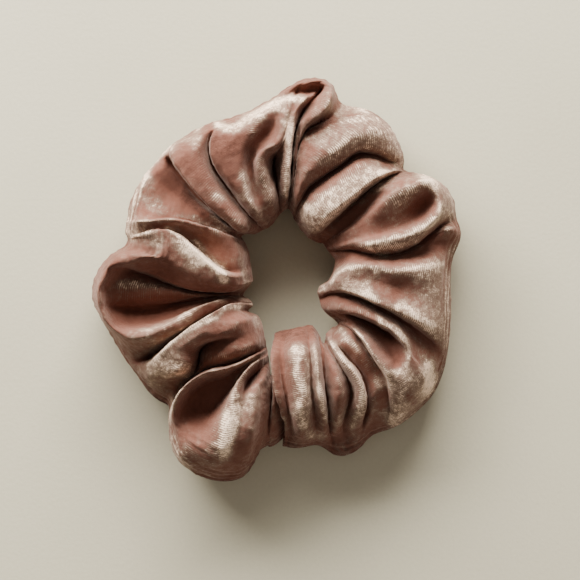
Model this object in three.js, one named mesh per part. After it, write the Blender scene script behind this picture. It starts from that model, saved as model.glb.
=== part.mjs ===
// A gathered velvet scrunchie: a long velvet tube drawn up over a short loop of flat elastic.
// Millimetres, +Z up, lying flat on z = 0, origin at the middle of its footprint.
// The tube is one strip of cloth with a long seam, and its two ends lap at the closing seam.
// It stretches by pulling its far side away from its closing side, so the cloth, the elastic
// and the seam thread are each parted in two halves there, and the halves slide along Y.

import * as THREE from 'three';
import { LoftGeometry } from 'three/addons/geometries/LoftGeometry.js';
import { mergeVertices } from 'three/addons/utils/BufferGeometryUtils.js';

// ---- driving dimensions -------------------------------------------------

const RING_CENTRE = new THREE.Vector2( 3.1, 1.4 ); // middle of the hole
const STEP = 5; // degrees between cross sections

// outline of the gathered ring round RING_CENTRE, every 10 degrees from +X
const OUTER_RADIUS = [
	45.9, 50.6, 50.6, 50.6, 46.0, 49.0, 51.8, 52.8, 57.3, 54.8, 49.2, 48.5,
	49.6, 50.5, 50.5, 50.0, 50.0, 47.5, 56.2, 55.8, 53.9, 53.5, 52.3, 54.5,
	63.6, 63.0, 51.5, 49.2, 52.3, 54.2, 52.6, 53.9, 54.2, 52.6, 49.6, 46.8,
];
const INNER_RADIUS = [
	11.4, 12.9, 14.3, 13.7, 13.3, 13.2, 12.9, 13.2, 14.9, 17.2, 17.2, 14.9,
	14.9, 16.0, 15.4, 13.2, 12.0, 11.2, 10.6, 10.4, 11.2, 12.0, 12.9, 13.4,
	14.3, 17.7, 16.3, 15.2, 15.2, 15.4, 18.9, 16.6, 12.6, 9.7, 9.7, 10.6,
];
// where the gathers crest, in degrees
const GATHERS = [ 3, 24, 48, 70, 91, 117, 136, 157, 174, 202, 216, 238, 251, 271, 286, 307, 336 ];

const TUBE_HEIGHT = 27; // top of a gather's crest
const VALLEY_DROP = 4.5; // how far the cloth dips between two crests
const MID_HEIGHT = 12.5; // widest level of the tube
const CLOTH = 1.2; // velvet with its pile
const ALLOWANCE = 6; // width of the seam allowance inside the outer edge
const ALLOWANCE_HALF = 1.0; // half the thickness of its two layers

const CLOSING_ANGLE = 261; // where the tube's two ends lap
const LAP_ANGLE = 7; // how far the tail runs into the mouth
const CLOSING_SEAM = CLOSING_ANGLE - 2; // the thread round the tail, just outside the mouth
const PARTING = 0.15; // half the gap where the halves part

const ELASTIC_INSET = 10; // from the ring's inner edge to the elastic
const ELASTIC_WIDTH = 6;
const ELASTIC_THICK = 0.9;
const ELASTIC_LEVEL = 11;
const ELASTIC_LAP = [ 248, 275 ]; // the elastic's two ends lie over each other here
const ELASTIC_LAYER = 1.3; // radial step between the lapped layers

const THREAD_R = 0.25;
const SEAM_STITCH_SIDE = 1.9; // thread beside the seam allowance
const GAP = 0.35;

// ---- colours ------------------------------------------------------------

const velvet = new THREE.MeshStandardMaterial( { color: 0xa9705f, roughness: 0.75, metalness: 0 } );
const elastic = new THREE.MeshStandardMaterial( { color: 0xe9e4da, roughness: 0.8, metalness: 0 } );
const thread = new THREE.MeshStandardMaterial( { color: 0x9a6052, roughness: 0.6, metalness: 0 } );

// ---- the ring's shape ---------------------------------------------------

// smooth periodic reading of a table with one value every 10 degrees
function table( values, deg ) {

	const n = values.length, x = ( ( deg % 360 ) + 360 ) % 360 / ( 360 / n );
	const i = Math.floor( x ), t = x - i;
	const p = [ - 1, 0, 1, 2 ].map( k => values[ ( i + k + n ) % n ] );
	return 0.5 * ( 2 * p[ 1 ] + ( p[ 2 ] - p[ 0 ] ) * t
		+ ( 2 * p[ 0 ] - 5 * p[ 1 ] + 4 * p[ 2 ] - p[ 3 ] ) * t * t
		+ ( 3 * p[ 1 ] - p[ 0 ] - 3 * p[ 2 ] + p[ 3 ] ) * t * t * t );

}

// 1 on a gather's crest and 0 in the valley halfway to the next
function crest( deg ) {

	const x = ( ( deg % 360 ) + 360 ) % 360;
	const all = [ GATHERS.at( - 1 ) - 360, ...GATHERS, GATHERS[ 0 ] + 360 ];
	const i = all.findIndex( a => a > x );
	const t = ( x - all[ i - 1 ] ) / ( all[ i ] - all[ i - 1 ] );
	return Math.abs( Math.cos( Math.PI * t ) );

}

// a point in the plane that stands at an angle round the ring
const place = ( deg, r, z ) => new THREE.Vector3(
	RING_CENTRE.x + r * Math.cos( THREE.MathUtils.degToRad( deg ) ),
	RING_CENTRE.y + r * Math.sin( THREE.MathUtils.degToRad( deg ) ),
	z );

// angles round the tube's section: four close together at the outer edge, for the seam allowance
const AROUND = [ - 9, - 3, 3, 9 ];
for ( let a = 22.5; a < 350; a += 22.5 ) AROUND.push( a );

// measures of the section: its radii and its top; the tail is drawn in where it enters the mouth
function measures( deg, tail ) {

	let ri = table( INNER_RADIUS, deg ), ro = table( OUTER_RADIUS, deg );
	let top = TUBE_HEIGHT - VALLEY_DROP * ( 1 - crest( deg ) ), floor = 0;
	if ( tail ) {

		const s = THREE.MathUtils.smoothstep( deg, CLOSING_ANGLE - 9, CLOSING_ANGLE - 3 );
		ri += 2 * s; ro -= 6 * s; top -= 6 * s; floor += 4 * s;

	}

	return { ri, ro, top, floor };

}

// one section of the tube: its outside (inset 0), its inside (inset CLOTH) or a line clear of it
function section( deg, inset, tail, allowance ) {

	const m = measures( deg, tail );
	const rc = ( m.ri + m.ro ) / 2, a = ( m.ro - m.ri ) / 2 - inset;
	const up = m.top - MID_HEIGHT - inset, down = ( MID_HEIGHT - m.floor ) * 1.25 - inset;
	return AROUND.map( ( phi, j ) => {

		const c = Math.cos( THREE.MathUtils.degToRad( phi ) ), s = Math.sin( THREE.MathUtils.degToRad( phi ) );
		if ( inset > 0 && allowance > 0 && ( j === 1 || j === 2 ) )
			return place( deg, rc + a - allowance, MID_HEIGHT + ( j === 1 ? - 1 : 1 ) * ALLOWANCE_HALF );
		const z = s > 0 ? MID_HEIGHT + up * s : Math.max( MID_HEIGHT + down * s, m.floor + inset );
		return place( deg, rc + a * c, z );

	} );

}

// where cross sections stand: every STEP, at both ends, and where the closing seam is sewn
function stations( from, to ) {

	const all = [ from, to, CLOSING_SEAM ];
	for ( let d = 0; d <= 360; d += STEP ) all.push( d );
	return [ ...new Set( all ) ].filter( d => d >= from && d <= to ).sort( ( a, b ) => a - b );

}

// a stretch of the cloth tube, hollow, open at both ends
function sleeve( name, from, to, { tail = false, allowanceFrom = - Infinity, allowanceTo = Infinity } = {} ) {

	const angles = stations( from, to );
	const fin = deg => ALLOWANCE * THREE.MathUtils.smoothstep( deg, allowanceFrom, allowanceFrom + 8 )
		* ( 1 - THREE.MathUtils.smoothstep( deg, allowanceTo - 8, allowanceTo ) );
	const outside = angles.map( d => section( d, 0, tail, 0 ) );
	const inside = angles.map( d => section( d, CLOTH, tail, fin( d ) ) ).reverse();
	return solid( name, new LoftGeometry( [ ...outside, ...inside, outside[ 0 ] ] ), velvet );

}

// ---- geometry helpers ---------------------------------------------------

function volume( g ) {

	const p = g.attributes.position, ix = g.index, v = [ 0, 1, 2 ].map( () => new THREE.Vector3() );
	let sum = 0;
	for ( let i = 0; i < ix.count; i += 3 ) {

		v.forEach( ( q, k ) => q.fromBufferAttribute( p, ix.getX( i + k ) ) );
		sum += v[ 0 ].dot( v[ 1 ].clone().cross( v[ 2 ] ) );

	}

	return sum / 6;

}

// welds a closed loft and turns its faces outwards
function solid( name, geometry, material ) {

	const bare = new THREE.BufferGeometry();
	bare.setAttribute( 'position', geometry.attributes.position );
	bare.setIndex( geometry.index );
	const g = mergeVertices( bare, 1e-3 );
	if ( volume( g ) < 0 ) {

		const ix = g.index;
		for ( let i = 0; i < ix.count; i += 3 ) {

			const b = ix.getX( i + 1 );
			ix.setX( i + 1, ix.getX( i + 2 ) );
			ix.setX( i + 2, b );

		}

	}

	g.computeVertexNormals();
	const mesh = new THREE.Mesh( g, material );
	mesh.name = name;
	return mesh;

}

// a round thread that follows points
function strand( name, points, sides = 6 ) {

	const u = new THREE.Vector3( 0.3, 0.2, 1 );
	const sections = points.map( ( p, i ) => {

		const t = points[ Math.min( i + 1, points.length - 1 ) ].clone()
			.sub( points[ Math.max( i - 1, 0 ) ] ).normalize();
		u.addScaledVector( t, - u.dot( t ) ).normalize();
		const w = new THREE.Vector3().crossVectors( t, u );
		return Array.from( { length: sides }, ( _, k ) => {

			const a = k / sides * Math.PI * 2;
			return p.clone().addScaledVector( u, THREAD_R * Math.cos( a ) ).addScaledVector( w, THREAD_R * Math.sin( a ) );

		} );

	} );
	return solid( name, new LoftGeometry( sections, { capStart: true, capEnd: true } ), thread );

}

// ---- the elastic --------------------------------------------------------

// the elastic's loop, smoothed out of the ring's inner edge
function elasticRadius( deg ) {

	let sum = 0;
	for ( let k = - 4; k <= 4; k ++ ) sum += table( INNER_RADIUS, deg + 10 * k );
	return sum / 9 + ELASTIC_INSET;

}

// the end that starts the lap lies a layer further out, then comes back to the loop
const layer = ( deg, outerEnd ) => outerEnd
	? ELASTIC_LAYER * ( 1 - THREE.MathUtils.smoothstep( deg, ELASTIC_LAP[ 1 ] + 3, ELASTIC_LAP[ 1 ] + 18 ) )
	: 0;

function band( name, from, to, outerEnd = false ) {

	const n = Math.round( ( to - from ) / STEP );
	const sections = Array.from( { length: n + 1 }, ( _, i ) => {

		const deg = from + ( to - from ) * i / n, r = elasticRadius( deg ) + layer( deg, outerEnd );
		return [ [ - 1, - 1 ], [ - 1, 1 ], [ 1, 1 ], [ 1, - 1 ] ].map( ( [ x, z ] ) =>
			place( deg, r + x * ELASTIC_THICK / 2, ELASTIC_LEVEL + z * ELASTIC_WIDTH / 2 ) );

	} );
	return solid( name, new LoftGeometry( sections, { capStart: true, capEnd: true } ), elastic );

}

// the lap's thread, wound round both layers
function lapWinding( turns = 5, perTurn = 12 ) {

	const points = [], first = ELASTIC_LAP[ 0 ] + 5, last = ELASTIC_LAP[ 1 ] - 5;
	const half = ( ELASTIC_LAYER + ELASTIC_THICK ) / 2 + GAP + THREAD_R, tall = ELASTIC_WIDTH / 2 + GAP + THREAD_R;
	for ( let i = 0; i <= turns * perTurn; i ++ ) {

		const deg = first + ( last - first ) * i / ( turns * perTurn );
		const a = i / perTurn * Math.PI * 2 + 0.3, c = Math.cos( a ), s = Math.sin( a );
		const q = Math.pow( Math.pow( Math.abs( c ), 8 ) + Math.pow( Math.abs( s ), 8 ), - 1 / 8 );
		points.push( place( deg, elasticRadius( deg ) + ELASTIC_LAYER / 2 + half * c * q * 1.12, ELASTIC_LEVEL + tall * s * q * 1.04 ) );

	}

	return strand( 'elastic_lap_thread', points );

}

// ---- the threads of the cloth -------------------------------------------

// lockstitch along the seam allowance inside the outer edge
function longSeam( name, from, to, tail = false ) {

	const n = Math.round( ( to - from ) / STEP ), points = [];
	for ( let i = 0; i <= n; i ++ ) {

		const deg = from + ( to - from ) * i / n, m = measures( deg, tail );
		points.push( place( deg, m.ro - CLOTH - ALLOWANCE + 2.5, MID_HEIGHT + SEAM_STITCH_SIDE + 0.3 ) );

	}

	return strand( name, points );

}

// slip stitches round the tail, against the edge of the mouth
function closingSeam() {

	const ring = section( CLOSING_SEAM, - ( GAP + THREAD_R + 0.2 ), true, 0 );
	return strand( 'closing_seam_thread', ring );

}

// ---- the assembly -------------------------------------------------------

// the side with the closing seam, which stays put
const closingSide = new THREE.Group();
closingSide.add(
	sleeve( 'sleeve_mouth_side', CLOSING_ANGLE, 360, { allowanceFrom: CLOSING_ANGLE + LAP_ANGLE + 3 } ),
	sleeve( 'sleeve_tail_side', 180, CLOSING_ANGLE + LAP_ANGLE, { tail: true, allowanceTo: CLOSING_ANGLE - 7 } ),
	band( 'elastic_inner_end', 180, ELASTIC_LAP[ 1 ] ),
	band( 'elastic_outer_end', ELASTIC_LAP[ 0 ], 360, true ),
	lapWinding(),
	longSeam( 'long_seam_thread_mouth_side', CLOSING_ANGLE + LAP_ANGLE + 14, 360 ),
	longSeam( 'long_seam_thread_tail_side', 180, CLOSING_ANGLE - 19, true ),
	closingSeam(),
);
closingSide.position.y = - PARTING;

// the far side, which is pulled away along +Y
const farSide = new THREE.Group();
farSide.add(
	sleeve( 'sleeve_far_side', 0, 180 ),
	band( 'elastic_far_side', 0, 180 ),
	longSeam( 'long_seam_thread_far_side', 0, 180 ),
);
farSide.position.y = PARTING;

const scrunchie = new THREE.Group();
scrunchie.add( closingSide, farSide );

// the footprint's middle goes to the origin
const box = new THREE.Box3().setFromObject( scrunchie, true ), middle = box.getCenter( new THREE.Vector3() );
scrunchie.position.set( - middle.x, - middle.y, - box.min.z );

export default scrunchie;
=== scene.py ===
# Looks of the velvet scrunchie. Metres, in the row frame: +Z up, flat on z = 0.
import math

import bpy
import numpy as np
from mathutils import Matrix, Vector, noise


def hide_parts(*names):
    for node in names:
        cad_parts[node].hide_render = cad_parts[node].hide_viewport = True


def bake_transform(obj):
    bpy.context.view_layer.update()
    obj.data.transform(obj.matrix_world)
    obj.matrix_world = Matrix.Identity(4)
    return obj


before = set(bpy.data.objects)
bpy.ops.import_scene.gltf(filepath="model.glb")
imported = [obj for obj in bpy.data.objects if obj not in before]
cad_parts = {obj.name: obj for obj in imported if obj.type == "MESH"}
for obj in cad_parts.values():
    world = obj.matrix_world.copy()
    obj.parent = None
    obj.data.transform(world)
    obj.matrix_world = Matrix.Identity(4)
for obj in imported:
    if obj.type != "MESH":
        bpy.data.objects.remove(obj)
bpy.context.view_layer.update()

MM = 0.001

# ---------------------------------------------------------------------------------------------
# The gathers. Each line runs over the top of the tube, from the ring's inner edge to its outer
# edge, along a crest ("R"), a pressed crease ("V", or "V+" and "V-" where it is tucked under the
# next or the last crest), a soft dip ("D") or the tail inside the mouth ("H", "T"). Points are
# (x, y, height in mm) on a plan grid of 0.08026 mm with y downwards; GRID puts it in the frame.
# They run anticlockwise from the closing seam.
# ---------------------------------------------------------------------------------------------
STEP_MM = 0.286 / 3.5636
LINES = [
    ("H", [(800,1004,11.5),(792,1062,18.5),(795,1120,20),(806,1190,19.5),(815,1250,16.5),(822,1300,11.5),(824,1330,8),(826,1352,6.5)]),
    ("R", [(765,976,11.5),(751,1050,21),(755,1120,23.5),(768,1190,23),(786,1250,20),(799,1300,14.5),(801,1345,9.5),(797,1378,6)]),
    ("V", [(800,962,12),(790,1040,19.5),(792,1120,21),(806,1200,20.5),(815,1260,18),(822,1320,13),(825,1360,9),(826,1385,6.5)]),
    ("R", [(850,951,13),(845,1030,23),(862,1110,26),(866,1190,25.5),(860,1260,23),(860,1320,18),(862,1360,12),(864,1385,8)]),
    ("V", [(884,944,12),(888,1020,20),(893,1090,22),(896,1160,21.5),(902,1230,19),(908,1290,15),(914,1340,10.5),(918,1368,6)]),
    ("R", [(900,947,12),(910,1020,21.5),(918,1090,25),(924,1160,25),(934,1230,22.5),(944,1290,18),(943,1335,12),(948,1350,8),(955,1396,4.5)]),
    ("V", [(922,975,11),(935,1040,18),(938,1100,18.5),(944,1160,17),(953,1220,15),(958,1280,12.5),(962,1325,9),(968,1350,6.5),(975,1408,4.5)]),
    ("R", [(940,1008,12),(966,1065,21),(986,1120,24),(990,1180,24),(988,1240,21.5),(985,1290,17),(985,1325,11),(990,1347,7.5),(1000,1416,5)]),
    ("V", [(944,996,10),(985,1068,17),(1010,1110,18),(1036,1165,17),(1036,1205,16.5),(1022,1250,15),(1012,1290,12.5),(1010,1328,8.5),(1018,1350,7),(1035,1408,5)]),
    ("R", [(947,976,12),(970,1020,20),(1005,1065,23.5),(1045,1110,24.5),(1075,1160,24),(1086,1210,22),(1080,1260,18.5),(1068,1300,13),(1060,1328,9.5),(1062,1393,5.5)]),
    ("V-", [(970,954,11.5),(1005,1005,17.5),(1050,1055,17.5),(1088,1105,16.5),(1104,1160,15),(1108,1220,13),(1098,1280,10),(1092,1330,8),(1085,1370,5)]),
    ("R", [(985,948,12.5),(1018,992,20),(1058,1035,21),(1094,1075,20),(1115,1130,18.5),(1125,1190,18),(1125,1250,14),(1110,1300,9.5),(1105,1345,5.5)]),
    ("V+", [(994,936,12),(1035,968,18),(1068,1010,18),(1100,1058,18),(1126,1110,17.5),(1142,1170,17.5),(1148,1240,14),(1142,1295,9.5),(1135,1328,6)]),
    ("R", [(998,928,13),(1042,958,21),(1082,1000,23.5),(1115,1052,24),(1155,1102,23.5),(1180,1150,21),(1190,1215,17.5),(1188,1275,12.5),(1180,1320,6.5)]),
    ("D", [(982,921,11),(1040,938,18.4),(1100,972,18.4),(1150,1020,18.6),(1190,1065,19.6),(1216,1108,22),(1238,1160,20.5),(1246,1220,16),(1242,1283,7)]),
    ("V+", [(962,912,11),(1030,922,17),(1090,945,14.5),(1150,980,13.5),(1190,1008,14.5),(1232,1050,21.8),(1268,1110,20.8),(1292,1170,17),(1296,1235,7)]),
    ("R", [(937,886,12.5),(1000,892,20.5),(1060,903,23),(1120,928,24),(1175,960,24),(1222,1003,23),(1262,1060,20),(1305,1120,17),(1335,1192,7.5)]),
    ("V+", [(922,852,11),(1000,848,17),(1060,860,17),(1120,888,16.5),(1175,925,16),(1225,970,15.5),(1270,1020,15.5),(1320,1070,14),(1368,1122,7.5)]),
    ("R", [(918,824,12.5),(1000,820,22),(1070,838,25),(1130,866,25.5),(1200,892,25),(1270,925,23.5),(1330,960,20),(1372,1000,14),(1390,1012,8)]),
    ("D", [(926,806,12.5),(1000,785,23),(1100,785,24),(1200,815,22.5),(1280,840,22),(1340,850,20),(1378,862,15),(1396,870,9)]),
    ("R", [(955,788,12),(992,758,21.5),(1040,737,24.5),(1100,735,25.5),(1200,750,25.5),(1290,740,24),(1350,725,20),(1380,728,14),(1392,752,9)]),
    ("D", [(983,712,11),(1040,704,19.5),(1110,708,21.5),(1180,714,21.8),(1240,706,20.8),(1290,680,18.5),(1335,655,17),(1380,672,14.5),(1398,698,8.5)]),
    ("R", [(966,692,10.5),(1030,688,18),(1110,698,20),(1200,702,19.8),(1270,674,18.6),(1330,632,17),(1385,604,18),(1425,602,14),(1441,624,9)]),
    ("V", [(955,682,10.5),(1030,678,17.5),(1100,692,19.6),(1190,695,18.8),(1265,664,17.2),(1325,616,16),(1370,585,15),(1402,575,12),(1416,578,8.5)]),
    ("R", [(947,670,11.5),(1000,664,18.5),(1050,652,22),(1090,658,24.5),(1140,646,25.5),(1205,632,25.5),(1285,604,25),(1335,562,24),(1365,540,20),(1396,535,15),(1412,545,9)]),
    ("D", [(942,662,11),(1000,648,18.5),(1080,630,22),(1150,612,22),(1220,585,20.5),(1280,545,18.2),(1318,515,18.8),(1352,488,21),(1388,480,15),(1405,500,9)]),
    ("R", [(938,656,11.5),(1000,626,18.8),(1070,585,21.8),(1130,530,24.4),(1190,480,25.5),(1250,450,24.5),(1320,430,21),(1365,440,14),(1385,460,9)]),
    ("D", [(934,653,11.5),(990,620,17.2),(1050,568,18.4),(1110,508,20.2),(1165,460,23),(1215,430,21),(1260,412,15.5),(1290,403,9)]),
    ("V+", [(930,655,11),(975,625,16.5),(1035,572,17),(1095,505,16.5),(1145,455,16),(1185,422,14.5),(1215,405,11.5),(1228,398,8)]),
    ("R", [(886,633,12),(925,580,22),(985,525,25),(1045,480,26),(1105,435,25.5),(1155,408,23),(1195,395,17),(1222,386,9.5)]),
    ("R", [(852,594,12),(885,545,21.5),(935,495,24),(1000,448,25),(1065,402,24.5),(1120,385,22),(1175,387,17.5),(1225,374,9.5)]),
    ("V+", [(833,566,11),(866,512,17),(903,468,17.2),(953,428,17),(1008,388,17),(1055,356,17),(1110,366,16.5),(1170,388,14.5),(1226,361,9.5)]),
    ("R", [(827,550,11.5),(850,500,20),(885,442,22),(945,400,22.5),(1005,362,22.5),(1060,322,22.5),(1130,320,21),(1190,345,17),(1227,346,9.5)]),
    ("R", [(823,541,11.5),(842,490,20.5),(870,420,24),(915,360,25.5),(980,320,26),(1060,270,25),(1130,252,22),(1185,272,16),(1206,302,9.5)]),
    ("D", [(820,536,11.5),(834,480,20),(850,400,22.5),(870,330,23.5),(910,272,23),(980,235,23),(1060,205,21),(1130,205,15),(1172,222,9.5)]),
    ("R", [(817,533,11.5),(830,470,19),(842,390,21.5),(856,320,22.5),(880,262,22),(930,232,20.5),(990,205,19),(1040,180,15),(1085,160,9)]),
    ("V", [(816,532,11),(829,465,18),(840,385,20),(852,315,20.5),(872,258,20),(912,236,18),(955,212,15.5),(985,186,13),(992,170,9)]),
    ("R", [(815,531,11),(826,460,18.5),(834,380,20.5),(841,310,22),(850,255,22.5),(866,226,25),(902,206,26.5),(944,180,26.5),(966,142,25.5),(972,112,20),(974,94,14),(976,84,9)]),
    ("V", [(812,530,10.5),(820,470,16),(825,410,16),(829,340,16.5),(835,280,17),(846,235,18),(866,185,18.5),(895,148,17.5),(920,122,14.5),(932,105,15),(942,86,19),(946,74,14),(948,70,9)]),
    ("R", [(797,537,11.5),(808,470,20.5),(815,400,23.5),(820,340,25),(824,280,25.5),(832,225,25.5),(848,175,25.5),(872,146,25),(884,134,23.5),(890,120,16.5),(896,98,15.5),(900,78,18.5),(902,68,14),(903,64,9)]),
    ("V", [(785,546,10.5),(780,490,15),(772,440,14.2),(764,400,11),(760,372,10),(764,350,13),(774,328,24.2),(793,294,25.5),(812,230,25),(826,175,24.5),(834,140,23),(839,126,17),(846,104,16),(850,86,18),(853,74,9.5)]),
    ("R", [(772,561,11.5),(758,510,20.5),(735,455,22.5),(712,405,24.5),(706,360,26),(728,325,26.5),(765,305,26.5),(786,262,25),(798,200,24.5),(804,150,22.5),(806,134,18),(809,112,17),(811,98,9.5)]),
    ("D", [(758,586,11.5),(725,530,19.5),(695,475,20.5),(684,420,20.5),(682,365,21.5),(698,318,22),(735,275,21.8),(757,238,23),(765,185,23.8),(768,152,20.5),(769,138,16),(770,130,10)]),
    ("R", [(742,597,12),(700,545,21.5),(665,480,24),(648,420,25),(640,365,26),(650,310,26.5),(678,255,26.5),(702,210,25),(718,178,21),(727,162,15.5),(731,152,9.5)]),
    ("R", [(737,600,12),(690,553,20.5),(645,495,23),(608,440,24.5),(585,385,26),(580,330,26.5),(592,290,26),(622,262,24.5),(655,228,20.5),(676,196,15),(690,174,9.5)]),
    ("R", [(731,602,11.5),(685,560,19),(636,498,21),(596,442,22.5),(560,392,24),(541,345,25),(538,300,25),(548,265,24),(570,244,21),(595,222,14.5),(610,208,9.5)]),
    ("V-", [(725,604,11),(678,562,16),(628,502,16),(586,447,16),(550,397,16.5),(528,345,17),(520,300,18),(518,262,18.5),(523,240,16),(533,226,12),(540,221,9.5)]),
    ("R", [(702,617,12),(655,600,21.5),(605,555,24),(555,500,25.5),(515,440,26),(490,380,25.5),(478,320,24),(480,280,20.5),(489,258,15),(497,240,9.5)]),
    ("R", [(682,622,12),(635,610,20.5),(585,568,22.5),(530,520,24),(478,465,25),(436,410,25),(406,365,23.5),(394,330,20),(394,308,14),(400,296,9.5)]),
    ("V-", [(656,622,11),(615,606,15.5),(570,566,13.5),(520,520,12.5),(470,470,12),(430,425,12.5),(395,395,13),(365,378,13.5),(345,372,12.5),(332,378,9)]),
    ("D", [(648,627,11),(605,603,18),(565,575,19),(520,540,19.5),(470,520,16.5),(400,480,15.5),(340,445,17),(305,430,17),(285,428,14),(278,448,9)]),
    ("D", [(646,631,11),(605,611,17.5),(545,590,18),(480,568,18),(420,552,18),(360,535,18),(310,522,18),(275,512,17),(258,510,13),(248,520,9)]),
    ("V+", [(650,636,11),(608,620,17.5),(552,599,18),(490,578,18),(430,562,18.5),(370,558,19),(315,560,20),(275,560,19),(250,562,14),(238,565,9)]),
    ("R", [(658,646,12),(615,632,20.5),(560,608,22.5),(500,590,23.5),(440,575,24),(380,570,24.5),(325,576,25),(285,576,25),(255,580,18),(235,582,9.5)]),
    ("D", [(675,680,12),(640,690,20),(590,680,20.5),(535,650,20),(480,620,20),(430,597,21.8),(385,590,23.4),(335,594,23.6),(285,604,22.5),(252,606,16),(231,606,9)]),
    ("V+", [(680,715,12),(640,735,19),(592,728,18.5),(545,698,18.5),(500,656,18.5),(462,628,19.5),(425,606,21.4),(380,598,23),(330,602,23),(280,612,21.6),(252,618,14.5),(234,617,9)]),
    ("R", [(683,748,12),(640,772,21),(590,765,24),(545,735,25.5),(500,695,26),(462,660,25.5),(430,630,25.5),(390,612,25.5),(345,612,25),(300,624,24),(265,634,19),(242,634,9.5)]),
    ("D", [(686,770,11.5),(640,788,20.5),(585,780,23.5),(530,755,24.5),(480,718,25),(438,680,24.5),(408,652,25.4),(382,652,25.4),(366,662,24.8),(345,652,24.4),(318,640,23.8),(285,636,21.8),(262,640,16),(240,650,9)]),
    ("R", [(688,788,11.5),(640,801,20),(575,798,22.5),(505,775,23.5),(440,738,23.5),(395,712,24),(362,702,25),(335,695,24),(300,682,23.5),(262,668,19),(236,661,9.5)]),
    ("D", [(682,798,11.5),(630,812,19),(555,812,20.5),(480,795,21),(415,765,20.5),(365,735,21),(325,712,23),(285,700,25),(235,690,23.5),(200,686,17),(180,688,9.5)]),
    ("R", [(670,812,11),(610,825,17.5),(535,825,18.5),(455,812,18.5),(385,785,18),(330,755,18.5),(290,735,21.5),(240,722,25),(190,728,25),(150,740,17),(134,752,9.5)]),
    ("V-", [(655,834,10.5),(600,833,13.5),(520,831,13),(440,823,13),(370,806,13.5),(300,790,14),(245,775,15),(200,765,18),(165,768,24),(132,775,17),(119,785,9.5)]),
    ("R", [(653,838,10.5),(590,838,14.5),(510,838,15.5),(430,832,16.5),(350,818,17.5),(280,810,18),(220,808,18.5),(175,812,19.5),(142,820,24),(120,822,16),(113,826,9.5)]),
    ("V", [(656,842,10.5),(590,842,14),(510,848,12.5),(430,862,12),(350,878,12.5),(280,886,13),(220,885,14),(180,880,18),(148,876,23.5),(126,876,15.5),(120,872,9.5)]),
    ("D", [(662,846,11),(600,846,15),(530,862,15),(460,890,15),(380,922,14.5),(310,935,14.5),(250,935,15.5),(205,935,18.5),(170,932,22),(148,924,14.5),(138,905,9.5)]),
    ("R", [(672,851,11),(610,853,17),(550,860,19.5),(490,882,21.5),(420,927,23),(350,964,24),(290,986,23.5),(238,990,21.5),(204,978,17.5),(180,965,12),(166,944,9.5)]),
    ("R", [(680,858,11.5),(620,861,17),(560,880,19),(500,910,21),(430,957,22.5),(360,994,22),(300,1012,20.5),(255,1016,18),(222,1010,13.5),(204,1010,11),(194,1005,9)]),
    ("V+", [(686,866,11),(630,863,16),(570,890,15),(510,926,14),(450,963,13),(390,1004,11),(335,1032,10.5),(290,1046,11),(255,1052,11.5),(232,1055,10.5),(222,1055,8.5)]),
    ("R", [(687,876,12),(640,866,19),(600,870,22.5),(550,898,25),(500,928,26),(450,962,26),(402,1002,25.5),(355,1045,23),(315,1088,18),(285,1112,12.5),(262,1108,8.5)]),
    ("R", [(672,893,11.5),(635,895,20),(585,917,24),(530,950,26),(480,985,26),(430,1022,25),(388,1062,23.5),(350,1100,20.5),(318,1126,16),(300,1142,11),(286,1143,8)]),
    ("D", [(708,914,12),(670,925,21.5),(620,942,25),(570,972,25),(520,998,23.2),(474,1028,22),(444,1070,23),(408,1112,22),(368,1140,17),(338,1158,12.5),(318,1190,8)]),
    ("V", [(722,955,12.5),(680,975,22),(620,990,23),(560,1000,20.5),(518,1016,14.5),(500,1045,10.5),(494,1085,12),(472,1120,16.5),(425,1146,16),(388,1168,13.5),(352,1217,8)]),
    ("R", [(733,1000,12.5),(690,1013,21.5),(630,1028,22.5),(572,1042,21),(528,1060,18.5),(508,1085,16.5),(488,1110,14.5),(455,1140,14),(425,1162,14),(400,1192,13),(382,1229,8)]),
    ("V+", [(737,1022,11.5),(700,1038,16.5),(650,1058,16),(600,1075,15.5),(550,1088,14.5),(505,1103,13.5),(470,1126,13.5),(440,1152,13.5),(415,1182,12.5),(400,1212,11),(391,1234,8)]),
    ("R", [(738,1031,12),(700,1049,20.5),(640,1080,23),(580,1100,24.5),(530,1108,25),(485,1130,25.5),(445,1162,25.5),(412,1205,23.5),(395,1250,18),(386,1280,12),(384,1292,9)]),
    ("D", [(740,1040,11.5),(705,1065,18),(655,1096,18.5),(600,1130,17.5),(550,1152,16.5),(505,1172,16),(465,1208,16.5),(440,1255,18),(415,1310,19),(398,1345,14),(392,1356,9)]),
    ("D", [(741,1045,11.5),(702,1074,18.5),(658,1112,19),(620,1160,18),(580,1200,17),(538,1240,16.5),(498,1290,18.5),(462,1350,21),(432,1410,18),(412,1430,13),(405,1420,9)]),
    ("R", [(742,1052,12),(705,1068,21),(668,1098,23.5),(640,1135,25),(622,1185,26),(608,1245,26),(592,1310,26),(572,1375,24.5),(552,1430,21),(540,1475,15),(532,1505,9)]),
    ("V", [(745,1075,11.5),(715,1102,16.5),(690,1128,16),(668,1155,17.5),(656,1190,23),(650,1240,24),(645,1300,24.5),(634,1360,23.5),(622,1420,20),(612,1470,14.5),(605,1504,9)]),
    ("R", [(748,1098,12),(728,1125,20),(705,1155,22.5),(690,1190,24.5),(688,1240,25),(685,1300,24.5),(680,1360,22),(672,1420,17),(666,1460,13),(655,1493,9)]),
    ("R", [(749,1113,12),(742,1150,18),(732,1190,20.5),(722,1240,21),(712,1290,20),(705,1340,17.5),(700,1380,13.5),(695,1410,11),(690,1436,8.5)]),
    ("V+", [(750,1125,11),(750,1160,14),(748,1200,14.5),(742,1250,14),(735,1290,13.5),(728,1330,12),(722,1355,10),(715,1376,7)]),
    ("R", [(758,1110,11.5),(762,1150,16.5),(762,1200,18),(758,1250,17),(755,1290,15),(752,1330,12),(752,1355,9.5),(748,1380,6.5)]),
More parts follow.
